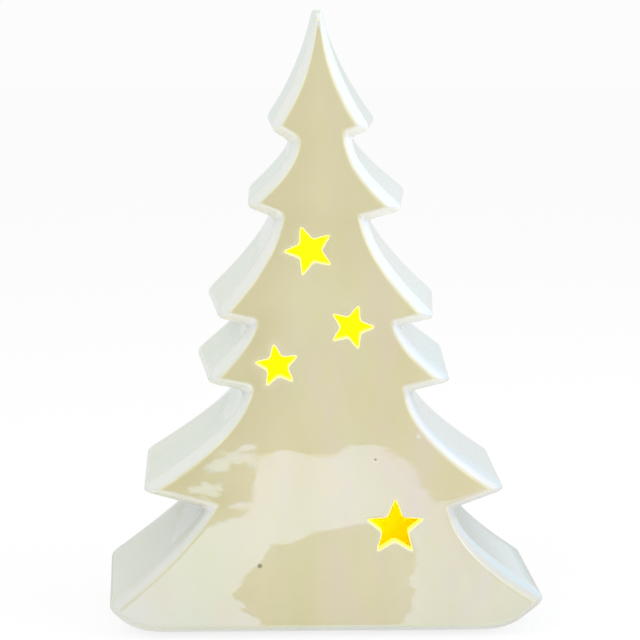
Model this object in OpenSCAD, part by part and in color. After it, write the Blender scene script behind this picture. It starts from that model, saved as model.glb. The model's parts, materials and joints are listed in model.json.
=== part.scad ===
// Lit ceramic tree: a hollow glazed shell with star windows and a plug-in light unit.
// All sizes are in millimetres. X runs across the face, the face looks toward -Y,
// and Z is up from the surface that the foot pads rest on.

/* [Tree shell] */
// Width of the tree, which the outline's reach shares are taken of
tree_width = 176; // [166:1:186]
// Height of the front face above the underside, which the rise shares are taken of
face_height = 248; // [240:1:256]
// Depth of the tree from the front face to the back
tree_depth = 62; // [60:1:68]
// Thickness of the fired clay wall
wall = 5; // [4.5:0.1:5.4]
// Width of the flat left at the very top of the front face
apex_flat = 1.4; // [1.2:0.1:1.8]
// How far the bevel round the front face stands out
bevel_reach = 4.1; // [3.6:0.1:4.4]
// How deep the bevel round the front face runs
bevel_depth = 5; // [4:0.1:6]
// How much wider the back is than the front rim, on each side
flare = 0.9; // [0.6:0.1:1.4]
// Size of the rounded edge at the back
back_round = 3.2; // [2.4:0.1:3.6]
// Length cut off each side of a branch tip where the tip is rounded
tip_cut = 1; // [0.8:0.1:1.5]
// Length cut off each side of a notch where the notch is rounded
notch_cut = 1.6; // [1.2:0.1:1.8]
// Length cut off each side of the corners where the underside begins
base_cut = 8; // [6:0.5:9]

/* [Star windows] */
// Radius of the topmost star
star_high_radius = 10.1; // [9:0.1:10.6]
// Radius of the star right of the middle
star_right_radius = 9.1; // [8.6:0.1:10]
// Radius of the star left of the middle
star_left_radius = 9; // [8.6:0.1:10]
// Radius of the lowest, largest star
star_low_radius = 12; // [11:0.1:13]
// Width of the blunt end of each star point
star_blunt = 0.7; // [0.4:0.1:1]

/* [Foot pads] */
// Radius of a foot pad
pad_radius = 4.5; // [3.5:0.1:5.5]
// Thickness of a foot pad
pad_thick = 1.2; // [1:0.1:1.6]
// Distance from the middle to a pad along X
pad_spread = 50; // [44:1:54]
// Distance from the socket's middle to a pad along Y
pad_offset = 18; // [16:0.5:19]

/* [Socket in the base] */
// Distance of the socket's middle behind the tree's middle
socket_back = 1.2; // [0.8:0.1:1.6]
// How far the light unit's flange laps over the edge of the hole
flange_lap = 2.5; // [2.1:0.1:2.9]
// Thickness of the light unit's flange
flange_thick = 2; // [1.8:0.1:2.2]
// How far the flange lies inside the underside of the shell
flange_recess = 0.4; // [0.3:0.1:0.6]
// Radial gap round the flange
flange_gap = 0.4; // [0.3:0.1:0.6]
// How far the light unit's barrel stands out past its cell pockets
barrel_margin = 5.28; // [5.1:0.02:5.48]
// Distance from the barrel to the wall of the hole
barrel_gap = 1.5; // [1.3:0.1:1.7]
// Depth of the groove that holds the grip ring
groove_depth = 0.8; // [0.6:0.1:0.9]
// Height of the grip ring
ring_height = 1.6; // [1.4:0.1:1.6]
// Radial clearance of the grip ring in the hole
ring_fit = 0.05; // [0.03:0.01:0.1]

/* [Cells and battery door] */
// Radius of a button cell
cell_radius = 5.8; // [5.7:0.05:5.8]
// Height of a button cell
cell_height = 5.4; // [5.2:0.1:5.4]
// Radius of the raised negative cap of a cell
cell_cap_radius = 4.4; // [4:0.1:4.6]
// Height of the raised negative cap of a cell
cell_cap_height = 0.7; // [0.5:0.1:0.8]
// Gap round a cell in its pocket
cell_gap = 0.3; // [0.3:0.02:0.34]
// Thickness of the web between two pockets
pocket_web = 1; // [0.8:0.1:1]
// Play between a cell's ends and its contacts
cell_play = 0.12; // [0.08:0.01:0.15]
// Distance of the battery door's middle left of the socket's middle
door_shift = 1.5; // [1.3:0.1:1.6]
// How far the battery door reaches past the cell pockets
door_lap = 0.68; // [0.58:0.02:0.88]
// Thickness of the battery door
door_thick = 1.5; // [1.4:0.1:1.6]
// How far the door lies inside the flange's underside
door_recess = 0.2; // [0.1:0.05:0.3]
// Gap round the door
door_gap = 0.35; // [0.3:0.01:0.4]
// Distance from the battery door's edge out to its screw
door_screw_out = 1.1; // [1:0.1:1.2]
// Radius of the ear that the door screw passes through
ear_radius = 3; // [2.8:0.1:3.1]
// Thickness of the contact strips
strip_thick = 0.3; // [0.25:0.05:0.35]
// Width of the contact strips
strip_width = 4; // [3.6:0.1:4.4]

/* [Screws] */
// Radius of a door screw's head
door_head_radius = 1.6; // [1.4:0.1:1.7]
// Height of a door screw's head
door_head_height = 0.8; // [0.7:0.05:0.9]
// Radius of a door screw's shank
door_shank_radius = 0.8; // [0.7:0.05:0.85]
// Length of a door screw's shank
door_shank_length = 5; // [4:0.1:5.5]
// Running clearance round a door screw's shank and head
screw_fit = 0.08; // [0.05:0.01:0.1]
// Radius of a housing screw's head
case_head_radius = 1.7; // [1.5:0.1:1.8]
// Height of a housing screw's head
case_head_height = 1; // [0.8:0.1:1.1]
// Radius of a housing screw's shank
case_shank_radius = 0.9; // [0.8:0.05:1]
// Gap round a housing screw in the lower housing
case_screw_gap = 0.2; // [0.15:0.01:0.25]
// Distance of the housing screws right of the socket's middle
case_screw_x = 4.5; // [4.2:0.1:4.8]
// Distance of the housing screws from the barrel's outer radius along Y
case_screw_inset = 2.9; // [2.8:0.1:3]

/* [Housing and dome] */
// Thickness of the deck above the cells
deck_thick = 1.2; // [1:0.1:1.4]
// Height of the rim that the circuit board lies on
board_stand = 0.7; // [0.6:0.1:0.9]
// Thickness of the upper housing's wall
cap_wall = 1.4; // [1.3:0.1:1.5]
// Gap between two housing parts that meet
part_gap = 0.06; // [0.04:0.01:0.08]
// Distance from the barrel's outside in to the dome over the lamps
dome_inset = 2.8; // [2.4:0.1:3.4]
// Height of the dome over the lamps
dome_height = 13; // [11:0.5:15]
// Thickness of the dome's wall
dome_wall = 1.1; // [0.9:0.1:1.3]
// Height of the collar that keeps the dome in place
collar_height = 1.2; // [1:0.1:1.5]

/* [Circuit board and lamps] */
// Thickness of the circuit board
board_thick = 1; // [0.8:0.1:1.2]
// Distance of each lamp from the socket's middle
lamp_reach = 9.4; // [8.8:0.1:9.8]
// Radius of a lamp's lens
lamp_radius = 2.5; // [2.3:0.1:2.5]
// Radius of the rim at the foot of a lamp
lamp_rim_radius = 2.9; // [2.8:0.1:3]
// Thickness of the rim at the foot of a lamp
lamp_rim_thick = 1; // [0.8:0.1:1.2]
// Height of a lamp from its foot to its tip
lamp_height = 8.6; // [8:0.1:9]
// Length of lamp leg between the board and the lamp
leg_show = 2.5; // [2:0.1:3]
// Width of a lamp's leg
leg_width = 0.5; // [0.4:0.05:0.6]
// Distance between the two legs of a lamp
leg_pitch = 2.54; // [2.4:0.02:2.6]
// Length by which legs and pins stand out past the board
leg_tail = 0.5; // [0.3:0.05:0.5]
// Gap round a leg or pin in its hole in the board
leg_gap = 0.1; // [0.06:0.01:0.12]
// Radius of the resistor's body
resistor_radius = 1.1; // [0.9:0.05:1.2]
// Length of the resistor's body
resistor_length = 6; // [5:0.1:6.5]
// Distance between the resistor's two legs
resistor_pitch = 10; // [9.4:0.1:10.4]
// Radius of the resistor's wire
wire_radius = 0.3; // [0.25:0.01:0.35]

/* [Slide switch] */
// Distance from the barrel's outside in to the middle of the switch
switch_inset = 3.1; // [3.05:0.05:3.2]
// Width of the switch's body
switch_width = 3.4; // [3.2:0.1:3.4]
// Length of the switch's body
switch_length = 8; // [7.6:0.1:8]
// Height of the switch's body
switch_height = 3.4; // [3:0.1:3.4]
// Travel of the knob from on to off
knob_travel = 2.2; // [2:0.1:2.4]
// Width of the knob's stem
stem_width = 1.5; // [1.3:0.1:1.6]
// Length of the knob's stem
stem_length = 1.8; // [1.6:0.1:2]
// Width of the knob's thumb piece
thumb_width = 2.6; // [2.4:0.1:2.8]
// Length of the knob's thumb piece
thumb_length = 3; // [2.6:0.1:3.2]
// Thickness of the knob's thumb piece
thumb_thick = 0.9; // [0.8:0.05:1]
// Clear gap round the moving knob
knob_gap = 0.35; // [0.3:0.01:0.4]

/* [Hidden] */

// Outline of the front face, tier by tier from the top. Reaches are shares of half the
// width, rises are shares of the face height. A lean is how much further a branch tip
// reaches, and how much higher it stands, at the back than at the front.
left_tip_reach_shares = [0.191, 0.287, 0.428, 0.473, 0.755, 0.956];
left_tip_rise_shares = [0.841, 0.72, 0.545, 0.438, 0.252, 0.044];
left_notch_reach_shares = [0.108, 0.177, 0.292, 0.32, 0.487];
left_notch_rise_shares = [0.824, 0.705, 0.535, 0.427, 0.226];
left_bow_shares = [0.04, 0.11, 0.19, 0.27, 0.14, 0.36];
left_lean_shares = [[0.02, 0], [-0.004, 0], [0.054, 0.003], [0.06, 0.005], [0.02, 0.005],
                    [0.059, 0.012]];
right_tip_reach_shares = [0.125, 0.255, 0.409, 0.484, 0.744, 0.966];
right_tip_rise_shares = [0.841, 0.714, 0.542, 0.436, 0.25, 0.054];
right_notch_reach_shares = [0.07, 0.135, 0.287, 0.342, 0.549];
right_notch_rise_shares = [0.835, 0.702, 0.533, 0.424, 0.224];
right_bow_shares = [0.055, 0, 0.17, 0.125, 0.08, 0.1];
right_lean_shares = [[0.055, 0], [0.053, 0.008], [0.045, 0], [0.004, 0.008], [-0.021, 0],
                     [-0.038, 0]];
// Where the flat base begins on each side, and where the top of the tree stands.
left_base_share = 0.87;
right_base_share = 0.84;
apex_reach_share = 0.035;
// How far the top moves sideways for each millimetre that the wall stands out.
apex_spread_share = 0.2;
// Where a flank's control point stands between its notch and its tip in height.
bow_rise_share = 0.5;
// Steps that a flank, a rounded tip and a rounded notch are drawn in.
flank_steps = 5;
tip_steps = 4;
notch_steps = 2;
tiers = len(left_tip_reach_shares);
// How much more is cut off each side of a tip for each millimetre that the wall stands
// out, and how much of the length to the notch below it the cut may take.
tip_soften_share = 0.9;
tip_limit_share = 0.55;
// Straight stretch that stays between a rounded tip and the corner below it.
least_gap = 0.3;

// Wall section from the front face backward: depth and reach as shares of the bevel.
bevel_shares = [[0, 0], [0.07, 0.2], [0.22, 0.38], [0.85, 0.92], [1.2, 1.03]];
// Rounded back edge: distance from the back and inset as shares of its size.
back_shares = [[1, 0], [0.4, 0.12], [0.1, 0.42], [0, 1]];

// Stars: place as shares of half width and face height, and turn in degrees to the left.
star_reach_shares = [-0.08, 0.11, -0.21, 0.322];
star_rise_shares = [0.643, 0.518, 0.456, 0.182];
star_turns = [21, -18, 8.6, 0];
star_radii = [star_high_radius, star_right_radius, star_left_radius, star_low_radius];
star_inner_share = 0.44;
star_points = 5;

half_width = tree_width / 2;
front_y = -tree_depth / 2;
back_y = tree_depth / 2;
cavity_skip = 5;

// Levels of the light unit above the table.
base_z = pad_thick + flange_recess;
flange_top_z = base_z + flange_thick;
ledge_z = flange_top_z + part_gap;
floor_z = pad_thick + wall;
door_z = base_z + door_recess;
door_top_z = door_z + door_thick;
cell_z = door_top_z + strip_thick + cell_play;
cell_top_z = cell_z + cell_height;
contact_z = cell_top_z + cell_play;
ceiling_z = contact_z + strip_thick + part_gap;
deck_z = ceiling_z + deck_thick;
board_z = deck_z + board_stand;
board_top_z = board_z + board_thick;
lamp_z = board_top_z + leg_show;
cap_under_z = lamp_z + lamp_rim_thick + part_gap;
cap_top_z = cap_under_z + cap_wall;
tail_top_z = board_top_z + leg_tail;

// The cells set the width of the barrel and of the door under them.
pocket_radius = cell_radius + cell_gap;
cell_pitch = 2 * pocket_radius + pocket_web;
cell_spread = cell_pitch / sqrt(3);
cell_angles = [180, 60, -60];
barrel_radius = cell_spread + pocket_radius + barrel_margin;
door_radius = cell_spread + pocket_radius + door_lap;
door_screw_x = -door_shift - door_radius - door_screw_out;
hole_radius = barrel_radius + barrel_gap;
flange_radius = hole_radius + flange_lap;
groove_radius = barrel_radius - groove_depth;
ring_middle_z = (ledge_z + floor_z) / 2;
case_screw_y = barrel_radius - case_screw_inset;
switch_x = barrel_radius - switch_inset;
dome_radius = barrel_radius - dome_inset;
cap_bore_radius = barrel_radius - cap_wall;
board_radius = cap_bore_radius - part_gap * 5;
lamp_angles = [45, 135, 225, 315];
well_z = board_z - switch_height - part_gap;
thumb_z = base_z + door_recess;
thumb_top_z = thumb_z + thumb_thick;
boss_radius = case_shank_radius * 2.4;
// Small share by which a cutter runs past the face it opens.
past = wall / 5;
// Sides that large and small round pieces are drawn with.
smooth_facets = 72;
fine_facets = 32;

function mix(a, b, t) = a + (b - a) * t;
function curve(a, c, b, t) = mix(mix(a, c, t), mix(c, b, t), t);
function reach_from(a, b, d) = a + (b - a) * d / norm(b - a);

// Control points of one side: top, then bow, tip and notch of each tier, then the base.
function tier_top(k, reaches, rises, side) =
    k == 0 ? [side * apex_flat / 2 - apex_reach_share * half_width, face_height]
           : [side * reaches[k - 1] * half_width, rises[k - 1] * face_height];
function tier_tip(k, reaches, rises, side) =
    [side * reaches[k] * half_width, rises[k] * face_height];
function bow_point(top, tip, bow) = [mix(top.x, tip.x, bow), mix(top.y, tip.y, bow_rise_share)];
function side_controls(tips, tip_rises, notches, notch_rises, bows, base, side) = [
    tier_top(0, notches, notch_rises, side),
    for (k = [0:tiers - 1])
        let (top = tier_top(k, notches, notch_rises, side),
             tip = tier_tip(k, tips, tip_rises, side))
            each [bow_point(top, tip, bows[k]), tip,
                  k < tiers - 1 ? tier_top(k + 1, notches, notch_rises, side)
                                : [side * base * half_width, bevel_reach]]
];
left_controls = side_controls(left_tip_reach_shares, left_tip_rise_shares,
    left_notch_reach_shares, left_notch_rise_shares, left_bow_shares, left_base_share, -1);
right_controls = side_controls(right_tip_reach_shares, right_tip_rise_shares,
    right_notch_reach_shares, right_notch_rise_shares, right_bow_shares, right_base_share, 1);
last = len(left_controls) - 1;

// The control loop runs down the left side and up the right side.
loop = concat(left_controls, [for (i = [last:-1:0]) right_controls[i]]);
function edge_normal(a, b) = [b.y - a.y, a.x - b.x] / norm(b - a);
function pushed(i, out) =
    let (n = len(loop), p = loop[i],
         u = edge_normal(loop[(i + n - 1) % n], p), v = edge_normal(p, loop[(i + 1) % n]))
        i == 0 || i == n - 1 ? p + out * [(u.x + v.x) * apex_spread_share, 1]
                             : p + out * (u + v) / (1 + u * v);
// Lean of a control point: all of it at a tip, half at a bow, none elsewhere.
function leaning(i, side, lean) =
    let (shares = side < 0 ? left_lean_shares : right_lean_shares, k = floor((i - 1) / 3))
        i == 0 || i % 3 == 0 ? [0, 0]
                             : [side * shares[k].x * half_width, shares[k].y * face_height]
                               * lean / (3 - i % 3);
function pushed_side(side, out, lean) =
    [for (i = [0:last]) pushed(side < 0 ? i : 2 * last + 1 - i, out) + leaning(i, side, lean)];

function rounded(before, corner, after, cut, steps, cut_after = undef) =
    let (a = reach_from(corner, before, cut),
         b = reach_from(corner, after, is_undef(cut_after) ? cut : cut_after))
        [for (s = [0:steps]) curve(a, corner, b, s / steps)];

// One side of the outline, pushed out of the front face's outline by a distance.
function side_outline(side, out, lean) =
    let (c = pushed_side(side, out, lean), other = pushed(side < 0 ? 2 * last + 1 : 0, out))
    [
        each rounded(other, c[0], c[1], norm(other - c[0]) / 3, notch_steps),
        for (k = [0:tiers - 1])
            let (top = c[3 * k], bow = c[3 * k + 1], point = c[3 * k + 2], end = c[3 * k + 3],
                 under = norm(end - point),
                 tip = min(tip_cut + max(0, out) * tip_soften_share, tip_limit_share * under),
                 from = reach_from(top, bow, k > 0 ? notch_cut : norm(other - top) / 3),
                 to = reach_from(point, bow, tip),
                 after = k < tiers - 1 ? c[3 * k + 4] : [0, end.y])
                each concat(
                    [for (s = [1:flank_steps - 1]) curve(from, bow, to, s / flank_steps)],
                    rounded(bow, point, end, tip, tip_steps),
                    k < tiers - 1 ? rounded(point, end, after, notch_cut, notch_steps)
                                  : rounded(point, end, after,
                                            min(base_cut, under - tip - least_gap),
                                            tip_steps, base_cut))
    ];

// Shift along X that puts the middle of the whole tree over the origin.
widest = [[bevel_reach * bevel_shares[4][1], bevel_depth / tree_depth],
          [bevel_reach + flare, 1 - back_round / tree_depth]];
function side_extent(side) =
    max([for (w = widest) for (p = side_outline(side, w[0], w[1])) side * p.x]);
centre_shift = (side_extent(-1) - side_extent(1)) / 2;

// A solid stacked from outlines at stated depths: [depth, reach] pairs from front to back.
module stack(levels, skip) {
    sides = [for (level = levels) let (lean = (level[0] - front_y) / tree_depth)
        [side_outline(-1, level[1], lean), side_outline(1, level[1], lean)]];
    m = len(sides[0][0]) - skip;
    n = 2 * m;
    points = [for (q = [0:len(levels) - 1]) each concat(
        [for (i = [0:m - 1]) let (p = sides[q][0][i + skip]) [p.x, levels[q][0], max(0, p.y)]],
        [for (i = [m - 1:-1:0]) let (p = sides[q][1][i + skip]) [p.x, levels[q][0], max(0, p.y)]])];
    back = n * (len(levels) - 1);
    faces = concat(
        [for (i = [0:m - 2]) [i, n - 1 - i, n - 2 - i, i + 1]],
        [for (i = [0:m - 2]) [back + i, back + i + 1, back + n - 2 - i, back + n - 1 - i]],
        [for (q = [0:len(levels) - 2]) for (i = [0:n - 1])
            [q * n + i, q * n + (i + 1) % n, (q + 1) * n + (i + 1) % n, (q + 1) * n + i]]);
    polyhedron(points = points, faces = faces, convexity = 8);
}

module tree_block() {
    stack(concat(
        [for (s = bevel_shares) [front_y + s[0] * bevel_depth, s[1] * bevel_reach]],
        [for (s = back_shares) [back_y - s[0] * back_round,
                                bevel_reach + flare - s[1] * back_round]]), 0);
}

module tree_cavity() {
    stack([[front_y + wall, bevel_reach - wall], [back_y - wall, bevel_reach - wall]], cavity_skip);
}

// Five-pointed star with blunt points, the first one upright.
module star_shape(r) {
    rotate(90) polygon([for (i = [0:star_points - 1]) let (a = i * 360 / star_points,
        side = 180 / star_points) each [
            [r * cos(a) + star_blunt / 2 * sin(a), r * sin(a) - star_blunt / 2 * cos(a)],
            [r * cos(a) - star_blunt / 2 * sin(a), r * sin(a) + star_blunt / 2 * cos(a)],
            r * star_inner_share * [cos(a + side), sin(a + side)]]]);
}

module star_windows() {
    for (i = [0:len(star_radii) - 1])
        translate([star_reach_shares[i] * half_width, front_y + wall + past,
                   star_rise_shares[i] * face_height])
            rotate([90, 0, 0]) linear_extrude(wall + 2 * past)
                rotate(star_turns[i]) star_shape(star_radii[i]);
}

module at_socket() { translate([0, socket_back, 0]) children(); }
module at_cell(i) {
    translate([cell_spread * cos(cell_angles[i]) - door_shift,
               socket_back + cell_spread * sin(cell_angles[i]), 0]) children();
}
module at_case_screws() {
    for (side = [-1, 1]) translate([case_screw_x, socket_back + side * case_screw_y, 0]) children();
}
module at_switch() { translate([switch_x, socket_back, 0]) children(); }
module at_door_screw() { translate([door_screw_x, socket_back, 0]) children(); }

// Upright cylinder round the Z axis between two levels.
module disc(r, z0, z1, detail = smooth_facets) {
    translate([0, 0, z0]) cylinder(r = r, h = z1 - z0, $fn = detail);
}
// Upright block centred on X and Y between two levels.
module block(x, y, z0, z1) {
    translate([-x / 2, -y / 2, z0]) cube([x, y, z1 - z0]);
}

module tree_shell() {
    color("ivory") difference() {
        translate([centre_shift, 0, pad_thick]) difference() {
            tree_block();
            tree_cavity();
            star_windows();
        }
        at_socket() {
            disc(hole_radius, ledge_z - past, floor_z + past);
            disc(flange_radius + flange_gap, pad_thick - past, ledge_z);
        }
    }
}

module foot_pads() {
    color("dimgray") for (x = [-1, 1], y = [-1, 1])
        translate([x * pad_spread, socket_back + y * pad_offset, 0])
            disc(pad_radius, 0, pad_thick, fine_facets);
}

// Plan of the battery door, also used a little larger for its recess.
module door_plan(extra, z0, z1) {
    translate([-door_shift, socket_back, 0]) disc(door_radius + extra, z0, z1);
    at_door_screw() disc(ear_radius + extra, z0, z1, fine_facets);
}

// Place of the blade that touches the side of the third cell.
module at_blade() { at_cell(2) rotate(cell_angles[2]) children(); }
blade_reach = cell_radius + screw_fit;
blade_width = strip_width * 0.75;

// Place of the single contact's tail beside the first cell's plate.
tail_reach = strip_width * 0.8;
tail_width = strip_width * 0.4;

// Strip joining two cells, drawn between two levels, narrower between its round ends.
neck_share = 0.7;
module bridge(i, j, width, extra, z0, z1) {
    line = [cos(cell_angles[j]) - cos(cell_angles[i]), sin(cell_angles[j]) - sin(cell_angles[i])];
    translate([0, 0, z0]) linear_extrude(z1 - z0) {
        for (k = [i, j]) at_cell(k) circle(r = width / 2 + extra, $fn = fine_facets);
        at_cell(i) rotate(atan2(line.y, line.x)) translate([0, -width * neck_share / 2 - extra])
            square([cell_pitch, width * neck_share + 2 * extra]);
    }
}

module unit_base() {
    color("whitesmoke") difference() {
        union() {
            at_socket() disc(flange_radius, base_z, flange_top_z);
            at_socket() disc(barrel_radius, base_z, deck_z);
            at_socket() difference() {
                disc(cap_bore_radius - part_gap, deck_z - deck_thick, board_z);
                disc(cap_bore_radius - cap_wall, deck_z, board_z + past);
            }
        }
        at_socket() difference() {
            disc(barrel_radius + past, ring_middle_z - ring_height / 2 - part_gap,
                 ring_middle_z + ring_height / 2 + part_gap);
            disc(groove_radius, ledge_z, floor_z);
        }
        door_plan(door_gap, base_z - past, cell_z);
        for (i = [0:2]) at_cell(i) disc(pocket_radius, cell_z - past, ceiling_z);
        bridge(1, 2, strip_width, cell_gap, contact_z - part_gap, ceiling_z);
        at_door_screw() disc(door_shank_radius + screw_fit, base_z,
                             door_top_z + door_shank_length, fine_facets);
        at_case_screws() {
            disc(case_head_radius + case_screw_gap, base_z - past,
                 door_z + case_head_height + part_gap, fine_facets);
            disc(case_shank_radius + case_screw_gap, base_z, deck_z + past, fine_facets);
            disc(boss_radius + case_screw_gap, deck_z, board_z + past, fine_facets);
        }
        at_blade() translate([blade_reach, 0, 0])
            block(2 * (strip_thick + leg_gap), blade_width + 2 * leg_gap, cell_z, deck_z + past);
        at_cell(0) translate([-tail_reach, 0, 0])
            block(strip_thick + 2 * leg_gap, tail_width + 2 * leg_gap, contact_z, deck_z + past);
        at_switch() {
            block(switch_width + 2 * cell_gap, switch_length + 2 * cell_gap, well_z, board_z + past);
            block(stem_width + 2 * knob_gap, stem_length + knob_travel + 2 * knob_gap,
                  base_z, well_z + past);
            block(thumb_width + 2 * knob_gap, thumb_length + knob_travel + 2 * knob_gap,
                  base_z - past, thumb_top_z + knob_gap);
        }
    }
}

module unit_cap() {
    color("whitesmoke") difference() {
        union() {
            at_socket() difference() {
                disc(barrel_radius, deck_z + part_gap, cap_top_z);
                disc(cap_bore_radius, deck_z, cap_under_z);
            }
            at_socket() difference() {
                disc(dome_radius + cap_wall, cap_under_z, cap_top_z + collar_height);
                disc(dome_radius + part_gap, cap_top_z, cap_top_z + collar_height + past);
            }
            at_case_screws() disc(boss_radius, deck_z + part_gap, cap_top_z, fine_facets);
        }
        at_case_screws() disc(case_shank_radius, deck_z, cap_under_z, fine_facets);
        at_switch() block(switch_width + 2 * cell_gap, switch_length + 2 * cell_gap,
                          deck_z, board_z + part_gap);
        for (a = lamp_angles) at_socket() rotate(a) translate([lamp_reach, 0, 0])
            disc(lamp_radius + leg_gap, cap_under_z - past, cap_top_z + past, fine_facets);
    }
}

module grip_ring() {
    inner = groove_radius + part_gap;
    outer = hole_radius - ring_fit;
    nose = ring_height / 4;
    color("gainsboro") at_socket() translate([0, 0, ring_middle_z])
        rotate_extrude($fn = smooth_facets) polygon([
            [inner, -ring_height / 2], [outer - nose, -ring_height / 2], [outer, -nose],
            [outer, nose], [outer - nose, ring_height / 2], [inner, ring_height / 2]]);
}

module dome() {
    ball = (dome_radius * dome_radius + dome_height * dome_height) / (2 * dome_height);
    color("linen", 0.6) at_socket() translate([0, 0, cap_top_z + part_gap]) difference() {
        translate([0, 0, dome_height - ball]) sphere(r = ball, $fn = smooth_facets);
        translate([0, 0, dome_height - ball]) sphere(r = ball - dome_wall, $fn = smooth_facets);
        disc(2 * ball, -2 * ball, 0);
    }
}

module leg_holes(z0, z1, extra) {
    for (a = lamp_angles) at_socket() rotate(a) translate([lamp_reach, 0, 0])
        for (side = [-1, 1]) translate([side * leg_pitch / 2, 0, 0])
            block(leg_width + 2 * extra, leg_width + 2 * extra, z0, z1);
}

module pin_places() {
    at_switch() for (k = [-1:1]) translate([0, k * leg_pitch, 0]) children();
}

module circuit_board() {
    color("seagreen") difference() {
        at_socket() disc(board_radius, board_z, board_top_z);
        at_case_screws() disc(boss_radius + case_screw_gap, board_z - past, board_top_z + past, fine_facets);
        leg_holes(board_z - past, board_top_z + past, leg_gap);
        pin_places() block(leg_width + 2 * leg_gap, leg_width + 2 * leg_gap,
                           board_z - past, board_top_z + past);
        for (side = [-1, 1]) at_socket() translate([0, side * resistor_pitch / 2, 0])
            disc(wire_radius + leg_gap, board_z - past, board_top_z + past, fine_facets);
        at_blade() translate([blade_reach + strip_thick / 2, 0, 0])
            block(strip_thick + 2 * leg_gap, blade_width + 2 * leg_gap,
                  board_z - past, board_top_z + past);
        at_cell(0) translate([-tail_reach, 0, 0])
            block(strip_thick + 2 * leg_gap, tail_width + 2 * leg_gap,
                  board_z - past, board_top_z + past);
    }
}

module lamp(i) {
    color("gold") at_socket() rotate(lamp_angles[i]) translate([lamp_reach, 0, 0]) {
        disc(lamp_rim_radius, lamp_z, lamp_z + lamp_rim_thick, fine_facets);
        disc(lamp_radius, lamp_z, lamp_z + lamp_height - lamp_radius, fine_facets);
        translate([0, 0, lamp_z + lamp_height - lamp_radius]) sphere(r = lamp_radius, $fn = fine_facets);
    }
}
module lamp_a() lamp(0);
module lamp_b() lamp(1);
module lamp_c() lamp(2);
module lamp_d() lamp(3);

module lamp_legs() {
    color("silver") leg_holes(board_z - leg_tail, lamp_z, 0);
}

resistor_z = board_top_z + resistor_radius + leg_tail;
module resistor() {
    color("tan") at_socket() translate([0, resistor_length / 2, resistor_z]) rotate([90, 0, 0])
        cylinder(r = resistor_radius, h = resistor_length, $fn = fine_facets);
}

module resistor_legs() {
    span = (resistor_pitch - resistor_length) / 2;
    color("silver") for (side = [0, 180]) at_socket() rotate(side)
        translate([0, resistor_length / 2, 0]) {
            translate([0, 0, resistor_z]) rotate([-90, 0, 0])
                cylinder(r = wire_radius, h = span, $fn = fine_facets);
            translate([0, span, resistor_z]) sphere(r = wire_radius, $fn = fine_facets);
            translate([0, span, 0]) disc(wire_radius, board_z - leg_tail, resistor_z, fine_facets);
        }
}

knob_rest = knob_travel / 2;
module switch_body() {
    slot = stem_length + knob_travel + 2 * knob_gap;
    color("darkslategray") difference() {
        at_switch() block(switch_width, switch_length, board_z - switch_height, board_z);
        at_switch() block(stem_width + 2 * knob_gap, slot, board_z - switch_height - past,
                          board_z - switch_height / 2);
    }
}

module switch_pins() {
    color("silver") pin_places() block(leg_width, leg_width, board_z, tail_top_z);
}

module switch_knob() {
    color("black") at_switch() translate([0, knob_rest, 0]) {
        block(stem_width, stem_length, thumb_z, board_z - switch_height / 2 - knob_gap);
        block(thumb_width, thumb_length, thumb_z, thumb_top_z);
    }
}

// Button cell, with its raised negative cap at the top or at the bottom.
module cell(i, cap_up) {
    low = cap_up ? cell_z : cell_z + cell_cap_height;
    color("silver") at_cell(i) {
        disc(cell_radius, low, low + cell_height - cell_cap_height);
        disc(cell_cap_radius, cell_z, cell_top_z);
    }
}
module cell_a() cell(0, true);
module cell_b() cell(1, false);
module cell_c() cell(2, true);

module contact_single() {
    color("goldenrod") at_cell(0) {
        disc(tail_reach, contact_z, contact_z + strip_thick, fine_facets);
        translate([-tail_reach, 0, 0]) block(strip_thick, tail_width, contact_z, tail_top_z);
    }
}

module contact_top_bridge() {
    color("goldenrod") bridge(1, 2, strip_width, 0, contact_z, contact_z + strip_thick);
}

module contact_door_bridge() {
    color("goldenrod") bridge(0, 1, strip_width, 0, door_top_z, door_top_z + strip_thick);
}

module contact_side() {
    color("goldenrod") at_blade() translate([blade_reach + strip_thick / 2, 0, 0])
        block(strip_thick, blade_width, cell_z + cell_cap_height, tail_top_z);
}

module battery_door() {
    color("whitesmoke") difference() {
        union() {
            door_plan(0, door_z, door_top_z);
            at_cell(2) disc(strip_width / 2, door_z, door_top_z + strip_thick, fine_facets);
        }
        at_door_screw() {
            disc(door_head_radius + screw_fit, door_z - past, door_z + door_head_height, fine_facets);
            disc(door_shank_radius + screw_fit, door_z, door_top_z + past, fine_facets);
        }
    }
}

module door_screw() {
    color("silver") at_door_screw() difference() {
        union() {
            disc(door_head_radius, door_z, door_z + door_head_height - part_gap, fine_facets);
            disc(door_shank_radius, door_z, door_top_z + door_shank_length - part_gap, fine_facets);
        }
        driver_cross(door_head_radius, door_head_height);
    }
}

// Cross-shaped recess for a screwdriver in the underside of a screw's head.
module driver_cross(head, height) {
    for (turn = [0, 90]) rotate(turn)
        block(head * 1.3, head * 0.3, door_z - past, door_z + height / 2);
}

module housing_screws() {
    color("silver") at_case_screws() difference() {
        union() {
            disc(case_head_radius, door_z, door_z + case_head_height, fine_facets);
            disc(case_shank_radius - part_gap, door_z, cap_under_z - cap_wall, fine_facets);
        }
        driver_cross(case_head_radius, case_head_height);
    }
}

tree_shell();
foot_pads();
unit_base();
unit_cap();
grip_ring();
dome();
circuit_board();
lamp_a();
lamp_b();
lamp_c();
lamp_d();
lamp_legs();
resistor();
resistor_legs();
switch_body();
switch_pins();
switch_knob();
cell_a();
cell_b();
cell_c();
contact_single();
contact_top_bridge();
contact_door_bridge();
contact_side();
battery_door();
door_screw();
housing_screws();
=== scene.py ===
import json
import math

import bmesh
import bpy
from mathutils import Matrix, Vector, kdtree, noise
from mathutils.geometry import delaunay_2d_cdt

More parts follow.
